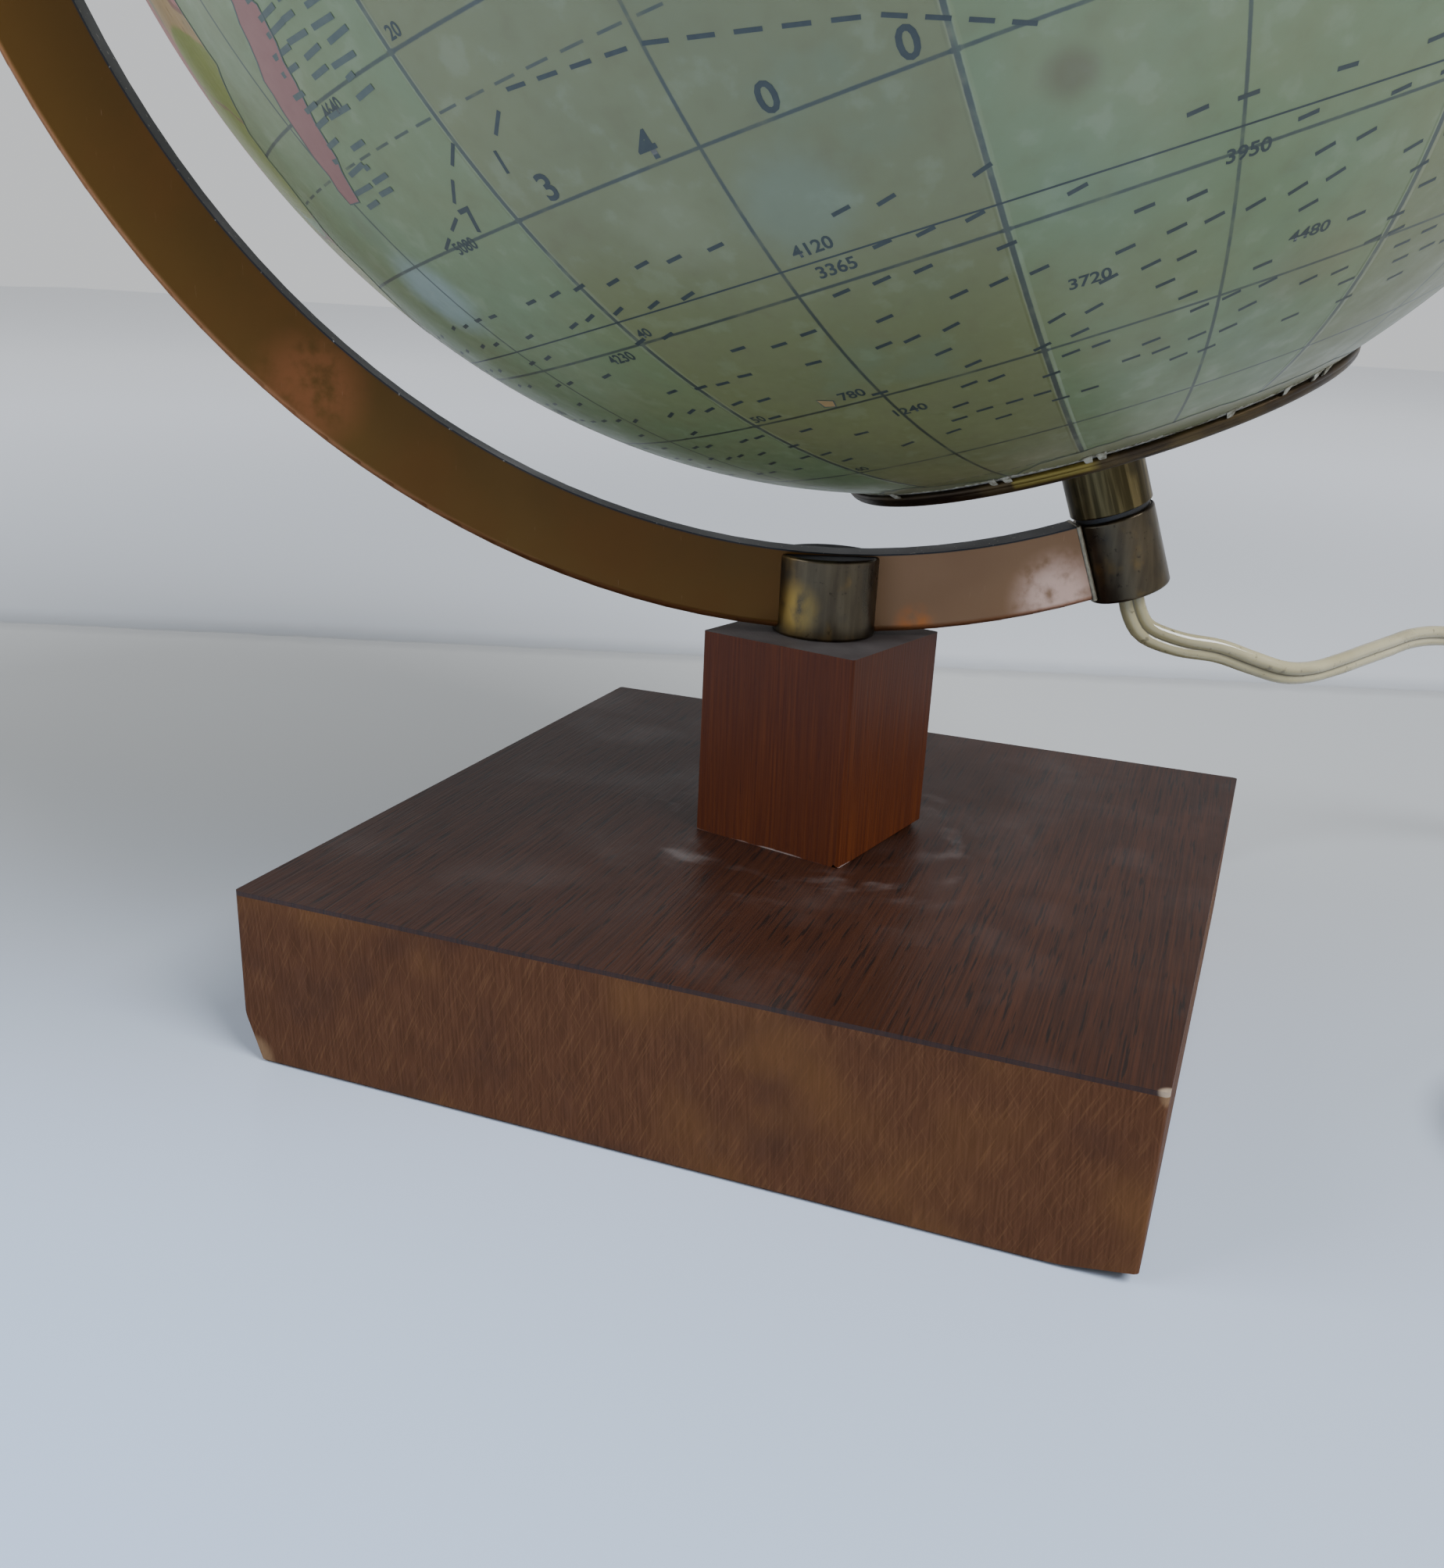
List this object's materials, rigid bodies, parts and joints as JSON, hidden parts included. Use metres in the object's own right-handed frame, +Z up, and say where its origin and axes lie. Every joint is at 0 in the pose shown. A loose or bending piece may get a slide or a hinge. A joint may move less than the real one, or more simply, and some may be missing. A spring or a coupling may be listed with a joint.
{
  "type": "terrestrial globe",
  "caption": "Illuminated terrestrial globe: papered glass ball turning on a tilted axis between the ends of a bent metal arm, on a square wooden post and foot, with flex, switch and plug.",
  "frame": {"origin": "centre of the square foot's underside, on the surface that it stands on", "axes": "+Z up, +X along the foot's front edge, +Y towards its back edge; the arm's plane is turned by 25.3 degrees about Z from the X-Z plane"},
  "size_m": [0.3445, 0.2769, 0.371],
  "materials": {
    "stained_wood": "red-brown stained wood with saw marks, dull",
    "veneer": "dark lacquered veneer with long grain, satin",
    "post_wood": "reddish-brown lacquered wood, satin",
    "steel": "plain steel",
    "aged_brass": "tarnished, dark with worn bright patches",
    "lacquered_copper": "copper-brown lacquered metal, satin, worn",
    "brass": "cleaner brass, satin",
    "black_plastic": "black, dull",
    "brown_bakelite": "dark brown bakelite",
    "porcelain": "white ceramic terminal block",
    "aluminium": "plain aluminium",
    "bulb_glass": "frosted glass",
    "globe_glass": "blown glass, hidden under the paper",
    "map_paper": "printed and varnished paper, aged, satin",
    "cream_pvc": "yellowed cream PVC",
    "cream_plastic": "yellowed cream plastic"
  },
  "bodies": {
    "foot": {"foot_block": "stained_wood", "foot_veneer": "veneer", "flat_washer": "steel", "spring_washer": "steel", "clamp_nut": "steel"},
    "post": {"post_block": "post_wood"},
    "globe": {"glass_sphere": "globe_glass", "map_paper": "map_paper", "south_dish": "aged_brass", "south_neck": "brass", "leaf_clips": "steel", "clip_rivets": "brass", "north_cap": "aged_brass", "north_neck": "brass", "north_nut": "brass"},
    "rocker": {"switch_rocker": "cream_plastic"},
    "arm": {"clamp_stud": "steel", "stem_collar": "aged_brass", "meridian_arm": "lacquered_copper", "south_socket": "aged_brass", "cord_bush": "black_plastic", "thrust_washer": "black_plastic", "hollow_axle": "brass", "axle_nut": "brass", "holder_dome": "brown_bakelite", "holder_block": "porcelain", "holder_sleeve": "brown_bakelite", "thread_shell": "brass", "contact_spring": "brass", "bulb_cap": "aluminium", "bulb_glass": "bulb_glass", "filament_mount": "steel", "north_socket": "aged_brass", "north_washer": "black_plastic", "pivot_screw": "aged_brass", "inner_lead": "cream_pvc", "cord_run": "cream_pvc", "switch_lower": "cream_plastic", "switch_upper": "cream_plastic", "switch_contacts": "brass", "switch_screws": "steel", "rocker_pin": "steel", "cord_link": "cream_pvc", "cord_coil": "cream_pvc", "coil_tie": "black_plastic", "cord_tail": "cream_pvc", "plug_body": "cream_plastic", "plug_pins": "brass", "plug_screw": "steel"}
  },
  "joints": [
    {"name": "post_turn", "type": "hinge", "parent": "foot", "child": "post", "pos_m": [0, 0, 0.0312], "axis": [0, 0, 1], "range_deg": [-90, 90]},
    {"name": "arm_turn", "type": "hinge", "parent": "post", "child": "arm", "pos_m": [0, 0, 0.0693], "axis": [0, 0, 1], "range_deg": [-90, 90]},
    {"name": "globe_spin", "type": "hinge", "parent": "arm", "child": "globe", "pos_m": [0.00262, 0.00124, 0.221], "axis": [-0.3181, -0.1504, 0.9361], "continuous": true},
    {"name": "rocker_tip", "type": "hinge", "parent": "arm", "child": "rocker", "pos_m": [0.19, 0.084, 0.014], "axis": [1, 0, 0], "range_deg": [-18, 0]}
  ]
}
